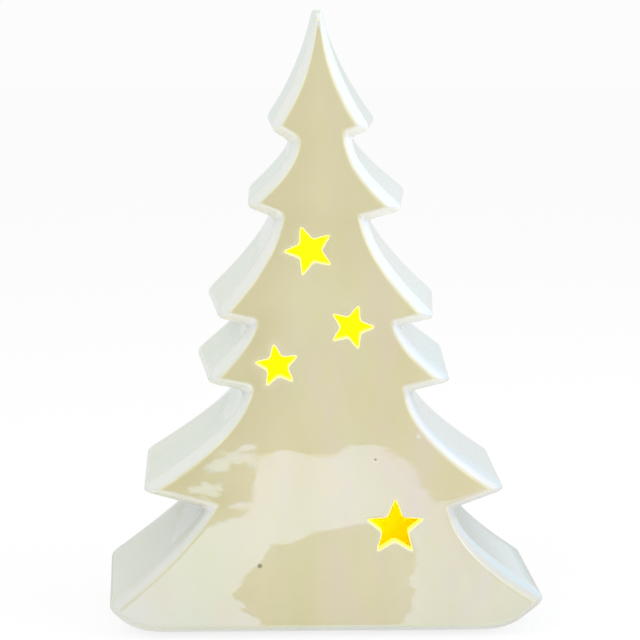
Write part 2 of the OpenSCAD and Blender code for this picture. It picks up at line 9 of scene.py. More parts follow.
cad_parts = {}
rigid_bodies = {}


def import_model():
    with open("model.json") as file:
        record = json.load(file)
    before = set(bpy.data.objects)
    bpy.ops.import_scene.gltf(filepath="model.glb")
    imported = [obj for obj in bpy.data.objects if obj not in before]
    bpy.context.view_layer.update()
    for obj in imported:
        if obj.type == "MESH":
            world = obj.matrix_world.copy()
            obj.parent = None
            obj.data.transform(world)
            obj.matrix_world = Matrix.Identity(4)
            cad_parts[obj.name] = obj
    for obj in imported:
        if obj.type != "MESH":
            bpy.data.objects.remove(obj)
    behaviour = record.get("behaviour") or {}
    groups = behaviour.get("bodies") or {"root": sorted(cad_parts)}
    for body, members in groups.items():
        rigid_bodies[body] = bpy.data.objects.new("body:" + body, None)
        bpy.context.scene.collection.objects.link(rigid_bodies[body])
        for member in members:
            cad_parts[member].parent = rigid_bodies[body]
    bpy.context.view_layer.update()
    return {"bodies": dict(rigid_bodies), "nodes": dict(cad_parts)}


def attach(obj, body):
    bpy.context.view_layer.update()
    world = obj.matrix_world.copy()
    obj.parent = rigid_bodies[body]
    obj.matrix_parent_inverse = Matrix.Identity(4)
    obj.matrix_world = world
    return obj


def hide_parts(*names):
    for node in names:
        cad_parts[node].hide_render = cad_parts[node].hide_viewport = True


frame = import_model()

MM = 0.001

# Sizes in millimetres, as the construction has them. The tips, the left notches, the base's corners and the
# places of the stars follow the photograph a little more closely than there.
WIDTH, FACE_HEIGHT, DEPTH, WALL = 176.0, 248.0, 62.0, 5.0
APEX_FLAT, BEVEL_REACH, BEVEL_DEPTH, FLARE, BACK_ROUND = 1.4, 4.1, 5.0, 0.9, 3.2
BEVEL_END = 1.03
TIP_CUT, TIP_LIMIT, BASE_CUT, BASE_SWEEP, LEAST_GAP = 1.0, 0.62, 8.0, 12.5, 0.3
HALF, FRONT, BACK, PAD = WIDTH / 2, -DEPTH / 2, DEPTH / 2, 1.2
LEFT = dict(
    tip=[0.191, 0.287, 0.428, 0.473, 0.755, 0.956], tip_z=[0.841, 0.72, 0.545, 0.438, 0.252, 0.044],
    notch=[0.108, 0.177, 0.292, 0.32, 0.487], notch_z=[0.824, 0.705, 0.535, 0.427, 0.226],
    bow=[0.04, 0.11, 0.19, 0.27, 0.14, 0.36], base=0.875, notch_cut=3.2,
    soften=[0.9, 1.0, 1.5, 1.6, 1.1, 0.9],
    lean=[0.02, -0.002, 0.072, 0.082, 0.022, 0.059], lift=[0, 0, -0.002, -0.001, 0.005, 0.012])
RIGHT = dict(
    tip=[0.125, 0.255, 0.409, 0.484, 0.744, 0.966], tip_z=[0.841, 0.714, 0.542, 0.436, 0.25, 0.054],
    notch=[0.07, 0.135, 0.287, 0.342, 0.549], notch_z=[0.835, 0.702, 0.533, 0.424, 0.224],
    bow=[0.055, 0, 0.17, 0.125, 0.08, 0.1], base=0.84, notch_cut=1.6,
    soften=[0.9, 0.9, 1.0, 1.0, 0.9, 0.9],
    lean=[0.055, 0.053, 0.045, 0.004, -0.021, -0.038], lift=[0, 0.008, 0, 0.008, 0, 0])
APEX_REACH, APEX_SPREAD = 0.035, 0.2
STARS = [  # reach share, rise share, turn, radius
    (-0.075, 0.644, 20, 10.1), (0.113, 0.5205, -18, 9.2), (-0.222, 0.458, 8.6, 9.0), (0.318, 0.1855, 0, 12.2)]
STAR_INNER, STAR_STEPS = 0.44, 5
# Rounding of a star's corners, and its growth with the reach past the star at points and at inner corners.
STAR_CUT, POINT_SOFTEN, INNER_SOFTEN = 1.25, 3.2, 0.8
SOCKET_Y, HOLE_R, REBATE_R, LEDGE_Z, FLOOR_Z = 1.2, 20.5, 23.4, 3.66, 6.2
HOLE_POINTS = 96
# Camera place, measured from the middle of the face, and its distance in front of the face.
CAMERA_SIDE, CAMERA_BACK, CAMERA_UP = -14.15, -621.0, 245.8
CAMERA_PITCH, CAMERA_TURN, FOCAL_PIXELS = 10.79, 1.129, 1521.68
PHOTO_PIXELS, SENSOR = 640, 36
CAMERA_AHEAD = FRONT - CAMERA_BACK

# Section of the wall: depth behind the face and reach past its outline.
FRONT_EDGE = [(0, -1.0), (0.02, -0.45), (0.12, 0.1), (0.35, 0.62), (0.75, 1.15), (1.3, 1.62), (2.6, 2.65),
              (4.25, 3.72), (6, 4.2)]
BACK_EDGE = [(58.8, 5.0), (60.72, 4.62), (61.68, 3.66), (62, 1.8)]
FRONT_STEPS, WALL_STEPS, BACK_STEPS = 2, 10, 4
# The wall stands this far inside the construction's outline.
SKIN = 0.06
# Painted highlight line round the face: its depth and half its width. The pale band on the bevel, pooled
# glaze with painted sheen, starts at a depth, is full after a rise and thins out over a fall to its end.
# The tone of the walls is full at a depth too.
HIGHLIGHT_LINE_DEPTH, HIGHLIGHT_LINE_HALF = 0.32, 0.3
POOL_SHEEN_START, POOL_SHEEN_RISE, POOL_SHEEN_END, POOL_SHEEN_FALL = 0.3, 0.6, 7.0, 6.1
WALL_TONE = 1.6
# Unevenness of the clay: width and height of its swells on the walls, the face and the back. The one of the
# walls draws towards a height on the middle line. Each fades out over a length toward the next surface.
WALL_SWELL, FACE_SWELL, BACK_SWELL = (17, 0.22), (21, 0.09), (25, 0.3)
SWELL_CENTRE, LEAST_ARM = 60, 20.0
NOISE_START, REAR_NOISE = 7.3, 40
FADE_FRONT, FADE_BACK, FADE_FOOT, FADE_FACE, FADE_REAR = 6, 3, 9, 14, 10
# Grid of points inside a flat area: its pitch, shares of it for the rows and the room left at the rim, and
# how much coarser it is on the back and where it is hardly seen.
GRID, QUICK_GRID, ROW_SHARE, ROOM_SHARE, BACK_GRID, INNER_GRID = 2.2, 4.0, 0.87, 0.45, 1.6, 2
# Points closer than the first are one, and heights closer than the second are level.
SAME_POINT, LEVEL = 1e-7, 1e-6
# How far the deeper tone of the face reaches in from its outline.
RIM_TONE = 16.0
# Rim of a star window: depth, reach past the star and share of the painted glow, an emission on the glaze
# round the star, which is no lamp. Its first steps are glazed.
STAR_RIM = [(0, 1.1, 0), (0, 0.5, 0.06), (0.03, 0.27, 0.3), (0.1, 0.12, 0.8), (0.25, 0.03, 1), (0.5, 0, 1),
            (2.6, 0, 1), (4.5, 0, 1), (4.85, 0.1, 1), (5, 0.4, 0)]
GLAZED_STEPS = 4
# Section of the hole in the underside: radius and height.
HOLE_SECTION = [(REBATE_R + 0.6, PAD), (REBATE_R + 0.15, PAD + 0.15), (REBATE_R, PAD + 0.6),
                (REBATE_R, LEDGE_Z), (HOLE_R + 0.3, LEDGE_Z), (HOLE_R, LEDGE_Z + 0.3),
                (HOLE_R, FLOOR_Z - 0.4), (HOLE_R + 0.4, FLOOR_Z)]
HOLLOW_DEPTHS = [WALL, 12, 22, 32, 42, 52, DEPTH - WALL]


# Outline of the tree.
def add(a, b, k):
    return (a[0] + b[0] * k, a[1] + b[1] * k)


def toward(a, b, d):
    n = math.hypot(b[0] - a[0], b[1] - a[1])
    return (a[0] + (b[0] - a[0]) * d / n, a[1] + (b[1] - a[1]) * d / n)


def curve(a, c, b, t):
    u = 1 - t
    return (u * u * a[0] + 2 * u * t * c[0] + t * t * b[0], u * u * a[1] + 2 * u * t * c[1] + t * t * b[1])


def controls(s, side):
    """Corners of one side of the outline from the top down: the bow, tip and notch of each branch."""
    pts = [(side * APEX_FLAT / 2 - APEX_REACH * HALF, FACE_HEIGHT)]
    for k in range(6):
        top = pts[-1]
        tip = (side * s["tip"][k] * HALF, s["tip_z"][k] * FACE_HEIGHT)
        bow = (top[0] + (tip[0] - top[0]) * s["bow"][k], (top[1] + tip[1]) / 2)
        end = (side * s["base"] * HALF, BEVEL_REACH)
        if k < 5:
            end = (side * s["notch"][k] * HALF, s["notch_z"][k] * FACE_HEIGHT)
        pts += [bow, tip, end]
    return pts


LOOP = controls(LEFT, -1) + controls(RIGHT, 1)[::-1]
LAST = len(LOOP) // 2 - 1


def miter(points, i, out):
    """The outward directions of the two sides that meet at a corner, and the corner pushed outward."""
    n = len(points)
    p, a, b = points[i], points[i - 1], points[(i + 1) % n]
    la, lb = math.dist(a, p), math.dist(p, b)
    u = ((p[1] - a[1]) / la, (a[0] - p[0]) / la)
    v = ((b[1] - p[1]) / lb, (p[0] - b[0]) / lb)
    d = 1 + u[0] * v[0] + u[1] * v[1]
    return u, v, add(p, ((u[0] + v[0]) / d, (u[1] + v[1]) / d), out)


def pushed(i, out):
    """A corner of the outline pushed outward. The two at the top go up and a little apart."""
    u, v, p = miter(LOOP, i, out)
    if i in (0, len(LOOP) - 1):
        return add(LOOP[i], ((u[0] + v[0]) * APEX_SPREAD, 1), out)
    return p


def corner(before, at, after, cut, n, cut_after=None):
    a, b = toward(at, before, cut), toward(at, after, cut_after or cut)
    return [curve(a, at, b, t / n) for t in range(n + 1)]


# Points on a flank and round a corner. The hollow starts some points down each side, just under the tip.
N_FLANK, N_CORNER = 14, 6
TIP_SKIP = N_CORNER + 1 + 7


def side_line(side, out, lean):
    """One side of the outline from the top down, with its tips, notches and base corner rounded."""
    s = LEFT if side < 0 else RIGHT
    c = []
    for i in range(LAST + 1):
        p = pushed(i if side < 0 else 2 * LAST + 1 - i, out)
        k, m = (i - 1) // 3, i % 3
        if i and m:
            p = add(p, (side * s["lean"][k] * HALF, s["lift"][k] * FACE_HEIGHT), lean / (3 - m))
        c.append(p)
    other = pushed(2 * LAST + 1 if side < 0 else 0, out)
    flat = math.dist(other, c[0]) / 3
    line = corner(other, c[0], c[1], flat, N_CORNER)
    before = flat
    for k in range(6):
        top, bow, point, end = c[3 * k:3 * k + 4]
        under = math.dist(point, end)
        tip = min(TIP_CUT + max(0.0, out) * s["soften"][k], TIP_LIMIT * under)
        notch = min(s["notch_cut"], under - tip - LEAST_GAP)
        a, b = toward(top, bow, before), toward(point, bow, tip)
        line += [curve(a, bow, b, t / N_FLANK) for t in range(1, N_FLANK)]
        line += corner(bow, point, end, tip, N_CORNER)
        before = notch
        if k < 5:
            line += corner(point, end, c[3 * k + 4], notch, N_CORNER)
        else:
            foot = min(BASE_CUT, under - tip - LEAST_GAP)
            line += corner(point, end, (0.0, end[1]), foot, N_CORNER, BASE_SWEEP)
    return line


# Where the outline is widest, behind the bevel and before the rounded back: its reach and its share of lean.
WIDE = [(BEVEL_REACH * BEVEL_END, BEVEL_DEPTH / DEPTH), (BEVEL_REACH + FLARE, 1 - BACK_ROUND / DEPTH)]
EXTENT = {s: max(s * p[0] for w in WIDE for p in side_line(s, *w)) for s in (-1, 1)}
SHIFT = (EXTENT[-1] - EXTENT[1]) / 2
CAMERA_X = CAMERA_SIDE + SHIFT


def ring(out, lean, skip=0):
    """Closed outline seen from the front: down the left side, then up the right side."""
    left, right = side_line(-1, out, lean)[skip:], side_line(1, out, lean)[skip:]
    return [(x + SHIFT, max(0.0, z) + PAD) for x, z in left + right[::-1]]


def spline(a, b, c, d, t):
    cubic = 3 * b - a - 3 * c + d
    return 0.5 * (2 * b + (c - a) * t + (2 * a - 5 * b + 4 * c - d) * t * t + cubic * t ** 3)


def smooth_steps(knots, per):
    """Points on a smooth line through the knots."""
    out = []
    for i in range(len(knots) - 1):
        around = [knots[max(0, min(len(knots) - 1, i + j))] for j in (-1, 0, 1, 2)]
        for s in range(per):
            out.append(tuple(spline(*values, s / per) for values in zip(*around)))
    return out + [knots[-1]]


def star_loop(i, push):
    """Outline of a star window, pushed outward, with rounded corners."""
    reach, rise, turn, r = STARS[i]
    pts = []
    for k in range(5):
        for rad, a in ((r, 90 + turn + 72 * k), (r * STAR_INNER, 126 + turn + 72 * k)):
            pts.append((rad * math.cos(math.radians(a)), rad * math.sin(math.radians(a))))
    moved = [miter(pts, j, push)[2] for j in range(10)]
    out = []
    for j in range(10):
        cut = STAR_CUT + max(0, push) * (INNER_SOFTEN if j % 2 else POINT_SOFTEN)
        out += corner(moved[j - 1], moved[j], moved[(j + 1) % 10], cut, STAR_STEPS)
    return [(x + reach * HALF + SHIFT, z + rise * FACE_HEIGHT + PAD) for x, z in out]


def circle(r):
    turns = [2 * math.pi * k / HOLE_POINTS for k in range(HOLE_POINTS)]
    return [(r * math.cos(a), SOCKET_Y + r * math.sin(a)) for a in turns]


def inside(p, poly):
    x, y, hit = p[0], p[1], False
    for (x0, y0), (x1, y1) in zip(poly, poly[1:] + poly[:1]):
        if (y0 > y) != (y1 > y) and x < (x1 - x0) * (y - y0) / (y1 - y0) + x0:
            hit = not hit
    return hit


# Glazed shell.
class Shell:
    """Points and faces of the tree, and for each point its share of the walls' tone, the painted highlight
    line, the pale bevel band of pooled glaze and painted sheen and the painted glow round the stars, and how
    far it is from the outline of a flat area."""

    def __init__(self):
        self.v, self.f = [], []
        names = ("wall", "edge", "bevel", "glow", "middle")
        self.shares = {name + "_share": [] for name in names}

    def points(self, pts, wall=0.0, edge=0.0, bevel=0.0, glow=0.0, middle=1.0):
        start = len(self.v)
        self.v += pts
        for values, share in zip(self.shares.values(), (wall, edge, bevel, glow, middle)):
            values += [share] * len(pts)
        return list(range(start, len(self.v)))

    def bridge(self, a, b, mat, keep=lambda j: True):
        n = len(a)
        for j in range(n):
            if keep(j):
                self.f.append(((a[j], a[(j + 1) % n], b[(j + 1) % n], b[j]), mat))

    def patch(self, outer, holes, plane, flip, mat, step, lift, wall=0.0):
        """Fills a flat area bounded by loops of points already made, with a grid of points inside it."""
        flat = [[plane(self.v[i]) for i in loop] for loop in [outer] + holes]
        pts = [p for loop in flat for p in loop]
        ids = [i for loop in [outer] + holes for i in loop]
        edges, at = [], 0
        for loop in flat:
            edges += [(at + j, at + (j + 1) % len(loop)) for j in range(len(loop))]
            at += len(loop)
        xs, ys = [p[0] for p in flat[0]], [p[1] for p in flat[0]]
        near, rim = kdtree.KDTree(at), kdtree.KDTree(len(outer))
        for i, (x, y) in enumerate(pts):
            near.insert((x, y, 0), i)
            if i < len(outer):
                rim.insert((x, y, 0), i)
        near.balance()
        rim.balance()
        y, row = min(ys) + step / 2, 0
        while y < max(ys):
            x = min(xs) + (step / 2 if row % 2 else step)
            while x < max(xs):
                p = (x, y)
                if inside(p, flat[0]) and not any(inside(p, h) for h in flat[1:]):
                    room = near.find((x, y, 0))[2]
                    if room > step * ROOM_SHARE:
                        pts.append(p)
                        inward = rim.find((x, y, 0))[2]
                        ids += self.points([lift(p, room)], wall, middle=min(1.0, inward / RIM_TONE))
                x += step
            y += step * ROW_SHARE
            row += 1
        made, _, tris, origin, _, _ = delaunay_2d_cdt([Vector(p) for p in pts], edges, [], 0, SAME_POINT)
        where = [ids[o[0]] if o else None for o in origin]
        for t in tris:
            c = (sum(made[i][0] for i in t) / 3, sum(made[i][1] for i in t) / 3)
            if inside(c, flat[0]) and not any(inside(c, h) for h in flat[1:]):
                face = [where[i] for i in t]
                if None not in face:
                    self.f.append((tuple(face[::-1] if flip else face), mat))


def ripple(x, y, z, size, amount):
    """Soft unevenness of a hand-finished surface, never outward."""
    return amount * 0.5 * (1 + noise.noise(Vector((x / size, y / size + NOISE_START, z / size))))


# Places of the tree's four materials.
GLAZE, CLAY, INSIDE, BARE = 0, 1, 2, 3


def seen(v):
    return (v[0], v[2])


def plan(v):
    return (v[0], v[1])


def wall_rings(s):
    """Rings of points from the edge of the face, over the bevel and along the wall to the back."""
    (d0, r0), (d1, r1) = FRONT_EDGE[-1], BACK_EDGE[0]
    wall = [(d0 + (d1 - d0) * k / WALL_STEPS, r0 + (r1 - r0) * k / WALL_STEPS) for k in range(1, WALL_STEPS)]
    rings = []
    for d, out in smooth_steps(FRONT_EDGE, FRONT_STEPS) + wall + smooth_steps(BACK_EDGE, BACK_STEPS):
        y, pts = FRONT + d, []
        fade = min(1, d / FADE_FRONT) * min(1, (DEPTH - d) / FADE_BACK)
        for x, z in ring(out - SKIN, d / DEPTH):
            pull = ripple(x, y, z, *WALL_SWELL) * fade * min(1, (z - PAD) / FADE_FOOT)
            k = 1 - pull / max(LEAST_ARM, math.hypot(x, z - SWELL_CENTRE))
            pts.append((x * k, y, max(PAD, SWELL_CENTRE + (z - SWELL_CENTRE) * k)))
        # Shares of the painted highlight line and of the pale bevel band, which is pooled glaze with painted
        # sheen.
        line = max(0.0, 1 - abs(d - HIGHLIGHT_LINE_DEPTH) / HIGHLIGHT_LINE_HALF)
        bevel = min(1.0, max(0.0, d - POOL_SHEEN_START) / POOL_SHEEN_RISE) * min(1.0, max(0.0, POOL_SHEEN_END - d) / POOL_SHEEN_FALL)
        rings.append(s.points(pts, min(1.0, d / WALL_TONE), line, bevel, middle=0.0))
    return rings


def build_walls(s):
    """Joins the rings. Returns the first and the last one and the open rim of the underside."""
    rings = wall_rings(s)
    bottom = len(rings[0]) // 2 - 1
    low = [all(s.v[r[j]][2] <= PAD + LEVEL for j in (bottom, bottom + 1)) for r in rings]
    for q in range(len(rings) - 1):
        cut = low[q] and low[q + 1]
        s.bridge(rings[q], rings[q + 1], GLAZE, keep=lambda j: not (cut and j == bottom))
    first, last = low.index(True), len(low) - 1 - low[::-1].index(True)
    resting = rings[first:last + 1]
    return rings[0], rings[-1], [r[bottom] for r in resting] + [r[bottom + 1] for r in resting[::-1]]


def build_star_rims(s):
    """Rims of the star windows, rounded into the cut clay. Returns the loops in the face and inside."""
    outer, inner = [], []
    for i in range(len(STARS)):
        loops = []
        for d, push, glow in STAR_RIM:
            loops.append(s.points([(x, FRONT + d, z) for x, z in star_loop(i, push)], glow=glow))
        for n, (a, b) in enumerate(zip(loops, loops[1:])):
            s.bridge(b, a, GLAZE if n < GLAZED_STEPS else CLAY)
        outer.append(loops[0])
        inner.append(loops[-1])
    return outer, inner


def build_underside(s, rim, step):
    """Underside with the stepped hole. Returns the hole's upper loop."""
    hole = [s.points([(x, y, z) for x, y in circle(r)], 1.0) for r, z in HOLE_SECTION]
    s.patch(rim[::-1], [hole[0]], plan, True, BARE, step, lambda p, room: (p[0], p[1], PAD), 1.0)
    for a, b in zip(hole, hole[1:]):
        s.bridge(b, a, BARE)
    return hole[-1]


def build_inside(s, stars, hole, step):
    hollow = []
    for d in HOLLOW_DEPTHS:
        outline = ring(BEVEL_REACH - WALL, d / DEPTH, TIP_SKIP)
        hollow.append(s.points([(x, FRONT + d, z) for x, z in outline]))
    floor = len(hollow[0]) // 2 - 1
    for a, b in zip(hollow, hollow[1:]):
        s.bridge(b, a, INSIDE, keep=lambda j: j != floor)
    s.patch(hollow[0], stars, seen, True, INSIDE, step, lambda p, room: (p[0], FRONT + WALL, p[1]))
    s.patch(hollow[-1], [], seen, False, INSIDE, step, lambda p, room: (p[0], BACK - WALL, p[1]))
    rim = [h[floor] for h in hollow] + [h[floor + 1] for h in hollow[::-1]]
    s.patch(rim[::-1], [hole], plan, False, INSIDE, step, lambda p, room: (p[0], p[1], FLOOR_Z))


def put_in_scene(name, data):
    obj = bpy.data.objects.new(name, data)
    bpy.context.scene.collection.objects.link(obj)
    return obj


def shell_object(s, name):
    mesh = bpy.data.meshes.new(name)
    mesh.from_pydata([(x * MM, y * MM, z * MM) for x, y, z in s.v], [], [f for f, _ in s.f])
    for face, (_, mat) in zip(mesh.polygons, s.f):
        face.material_index = mat
        face.use_smooth = True
    for share, values in s.shares.items():
        mesh.attributes.new(share, "FLOAT", "POINT").data.foreach_set("value", values)
    bm = bmesh.new()
    bm.from_mesh(mesh)
    bmesh.ops.recalc_face_normals(bm, faces=bm.faces)
    bm.to_mesh(mesh)
    bm.free()
    return put_in_scene(name, mesh)


def uneven_face(p, room):
    return (p[0], FRONT + ripple(p[0], 0, p[1], *FACE_SWELL) * min(1, room / FADE_FACE), p[1])


def uneven_back(p, room):
    return (p[0], BACK - ripple(p[0], REAR_NOISE, p[1], *BACK_SWELL) * min(1, room / FADE_REAR), p[1])


def build_shell():
    s = Shell()
    step = GRID
    front, back, rim = build_walls(s)
    stars_front, stars_back = build_star_rims(s)
    s.patch(front, stars_front, seen, False, GLAZE, step, uneven_face)
    s.patch(back, [], seen, True, GLAZE, step * BACK_GRID, uneven_back, 1.0)
    hole = build_underside(s, rim, step * INNER_GRID)
    build_inside(s, stars_back, hole, step * INNER_GRID)
    return shell_object(s, "glazed_tree")


# Materials.
class Nodes:
    """A material's nodes, or the world's. A call is given numbers, colours or other nodes' outputs."""

    def __init__(self, name):
        self.mat = bpy.data.materials.new(name)
        self.mat.use_nodes = True
        self.start(self.mat.node_tree, "ShaderNodeOutputMaterial")

    @classmethod
    def around(cls, tree, output):
        made = cls.__new__(cls)
        made.start(tree, output)
        return made

    def start(self, tree, output):
        self.tree = tree
        tree.nodes.clear()
        self.out = tree.nodes.new(output)

    def new(self, kind):
        return self.tree.nodes.new(kind)

    def link(self, a, b):
        self.tree.links.new(a, b)

    def put(self, value, socket):
        """Links an output to a socket, or sets a number or colour on it."""
        if isinstance(value, (int, float)):
            socket.default_value = value
        elif isinstance(value, tuple):
            socket.default_value = (*value, 1)[:len(socket.default_value)]
        else:
            self.link(value, socket)

    def blend(self, share, first, second):
        n = self.new("ShaderNodeMixShader")
        for value, socket in zip((share, first, second), n.inputs):
            self.put(value, socket)
        return n.outputs[0]

    def place(self):
        return self.new("ShaderNodeTexCoord").outputs["Object"]

    def noise(self, scale, detail=3.0, rough=0.5, where=None):
        n = self.new("ShaderNodeTexNoise")
        n.inputs["Scale"].default_value = scale
        n.inputs["Detail"].default_value = detail
        n.inputs["Roughness"].default_value = rough
        self.link(where or self.place(), n.inputs["Vector"])
        return n.outputs["Fac"]

    def ramp(self, value, stops, between="LINEAR"):
        n = self.new("ShaderNodeValToRGB")
        n.color_ramp.interpolation = between
        while len(n.color_ramp.elements) < len(stops):
            n.color_ramp.elements.new(0.5)
        for e, (at, c) in zip(n.color_ramp.elements, stops):
            e.position, e.color = at, (*c, 1)
        self.link(value, n.inputs["Fac"])
        return n.outputs["Color"]

    def scaled(self, x, y, z):
        n = self.new("ShaderNodeMapping")
        n.inputs["Scale"].default_value = (x, y, z)
        self.link(self.place(), n.inputs["Vector"])
        return n.outputs[0]

    def line(self, value, points, low, high):
        """Straight pieces through points, which all lie between low and high."""
        n = self.new("ShaderNodeFloatCurve")
        self.link(self.remap(value, low, high), n.inputs["Value"])
        share = [((x - low) / (high - low), (y - low) / (high - low)) for x, y in points]
        knots = n.mapping.curves[0].points
        while len(knots) < len(share):
            knots.new(0.5, 0.5)
        for knot, at in zip(knots, share):
            knot.location, knot.handle_type = at, "VECTOR"
        n.mapping.update()
        return self.remap(n.outputs["Value"], 0.0, 1.0, low, high)

    def math(self, op, a, b=None):
        n = self.new("ShaderNodeMath")
        n.operation = op
        for value, socket in zip((a, b), n.inputs):
            if value is not None:
                self.put(value, socket)
        return n.outputs[0]

    def remap(self, value, lo, hi, a=0.0, b=1.0, soft=False):
        n = self.new("ShaderNodeMapRange")
        n.interpolation_type = "SMOOTHSTEP" if soft else "LINEAR"
        for k, v in (("From Min", lo), ("From Max", hi), ("To Min", a), ("To Max", b)):
            n.inputs[k].default_value = v
        self.link(value, n.inputs["Value"])
        return n.outputs["Result"]

    def span(self, value, lo, hi, a=0.0, b=1.0, soft=False):
        """As remap, with lo and hi in millimetres."""
        return self.remap(value, lo * MM, hi * MM, a, b, soft)

    def times(self, first, *others):
        for other in others:
            first = self.math("MULTIPLY", first, other)
        return first

    def parts(self, vector):
        n = self.new("ShaderNodeSeparateXYZ")
        self.link(vector, n.inputs[0])
        return n.outputs["X"], n.outputs["Y"], n.outputs["Z"]

    def mix(self, fac, a, b):
        n = self.new("ShaderNodeMix")
        n.data_type = "RGBA"
        for value, k in ((fac, 0), (a, 6), (b, 7)):
            self.put(value, n.inputs[k])
        return n.outputs[2]

    def bump(self, height, strength, distance, normal=None):
        n = self.new("ShaderNodeBump")
        n.inputs["Strength"].default_value = strength
        n.inputs["Distance"].default_value = distance
        self.link(height, n.inputs["Height"])
        if normal:
            self.link(normal, n.inputs["Normal"])
        return n.outputs["Normal"]

    def attribute(self, name):
        n = self.new("ShaderNodeAttribute")
        n.attribute_name = name
        return n.outputs["Fac"]

    def shader(self, color, rough, **sockets):
        n = self.new("ShaderNodeBsdfPrincipled")
        self.put(color, n.inputs["Base Color"])
        self.put(rough, n.inputs["Roughness"])
        for key, value in sockets.items():
            self.put(value, n.inputs[key.replace("_", " ")])
        self.link(n.outputs[0], self.out.inputs["Surface"])


def near_spot(m, point, radius):
    """A share that is full at a point and fades out toward a radius round it."""
    n = m.new("ShaderNodeVectorMath")
    n.operation = "DISTANCE"
    m.link(m.place(), n.inputs[0])
    m.put(tuple(c * MM for c in point), n.inputs[1])
    return m.span(n.outputs["Value"], radius * 0.5, radius, 1.0, 0.0, True)


CREAM_TONES = [(0.3, (0.78, 0.695, 0.42)), (0.5, (0.795, 0.735, 0.47)), (0.7, (0.81, 0.755, 0.52))]
DEEP_TONES = [(0.3, (0.70, 0.64, 0.37)), (0.6, (0.74, 0.68, 0.42))]
PEARL_TONES = [(0.3, (0.69, 0.71, 0.555)), (0.5, (0.74, 0.745, 0.59)), (0.7, (0.735, 0.755, 0.635))]
# Painted light on the right-facing walls: their tone low down and high up.
RIGHT_LIT_LOW, RIGHT_LIT_HIGH = (0.62, 0.70, 0.72), (0.86, 0.89, 0.89)
# Middle of each pinhole in the glaze, and its radius.
PINHOLES = [((SHIFT - 27.0, FRONT, 31.5), 1.25), ((SHIFT + 19.8, FRONT, 76.1), 0.7)]


def face_tone(m, x, high):
    """Soft clouds that ran down the face as the glaze melted, deeper towards its left edge."""
    cream = m.ramp(m.noise(38, 3, 0.55, m.scaled(1, 1, 0.4)), CREAM_TONES)
    rosy = m.noise(85, 2, 0.5, m.scaled(1, 1, 0.4))
    cream = m.mix(m.remap(rosy, 0.5, 0.68, 0.0, 0.7), cream, (0.81, 0.71, 0.55))
    olive = m.noise(60, 2, 0.5, m.scaled(1, 1, 0.3))
    cream = m.mix(m.remap(olive, 0.5, 0.3, 0.0, 0.6), cream, (0.75, 0.735, 0.43))
    outer = m.math("SUBTRACT", 1.0, m.attribute("middle_share"))
    leftward = m.span(x, 40, -10, 0.1, 1.0)
    return m.mix(m.times(outer, high, leftward), cream, m.ramp(m.noise(24, 2), DEEP_TONES))


def side_tone_with_painted_light(m, z, left, right):
    """Pearl of the sides, with painted light on the right-facing walls, bluer and much lighter high up, and
    painted olive shade low on the left-facing walls, darkest just under the second-lowest branch.
    """
    pearl = m.ramp(m.noise(30, 3, 0.6), PEARL_TONES)
    pearl = m.mix(right, pearl, m.mix(m.span(z, 90, 160, soft=True), RIGHT_LIT_LOW, RIGHT_LIT_HIGH))
    # Painted shade on the left-facing walls below the second-lowest branch, darkest in the pocket just under
    # it.
    shade_below_branch = m.span(z, 60, 56)
    pearl = m.mix(m.times(left, m.span(z, 6, 40), shade_below_branch), pearl, (0.55, 0.555, 0.44))
    return m.mix(m.times(left, m.span(z, 38, 50), shade_below_branch), pearl, (0.48, 0.46, 0.30))


def pool_and_sheen_tone(m, z, left, right, under):
    """White of the pale bevel band, pooled glaze with painted sheen: warmer at the left, painted cream on the
    downward-facing bevels under the branches, and duller low down.
    """
    white = m.mix(left, (0.86, 0.86, 0.84), (0.81, 0.80, 0.72))
    white = m.mix(under, white, (0.95, 0.90, 0.72))
    white = m.mix(m.span(z, 8, 70), (0.73, 0.73, 0.64), white)
    return m.mix(m.times(right, m.span(z, 75, 25)), white, (0.70, 0.62, 0.51))


def pool_and_sheen_share(m, left, under, high):
    """Where the bevel is white: a band of pooled glaze, widened as painted sheen on the left-facing and
    downward-facing bevels.
    """
    bevel = m.attribute("bevel_share")
    broad, band = m.remap(bevel, 0.0, 0.35), m.remap(bevel, 0.5, 0.8)
    wide = m.math("MAXIMUM", m.times(left, m.remap(high, 0.0, 1.0, 0.45, 1.0)), under)
    pool_and_sheen = m.math("ADD", band, m.times(wide, m.math("SUBTRACT", broad, band)))
    return m.times(pool_and_sheen, m.remap(m.noise(45, 2), 0.3, 0.7, 0.75, 1.0))


def tip_share(m, x, z, wall):
    """Where the white closes in on the top of the face from both sides, to a point just under its tip."""
    top, tip_x = PAD + FACE_HEIGHT, SHIFT - APEX_REACH * HALF
    aside = m.math("ABSOLUTE", m.math("SUBTRACT", x, tip_x * MM))
    above = m.times(m.math("SUBTRACT", z, (top - 1.2) * MM), 0.26)
    closed = m.span(m.math("ADD", aside, above), -0.2, 0.2)
    return m.times(closed, m.span(z, top - 8, top - 6), m.remap(wall, 0.5, 0.0))


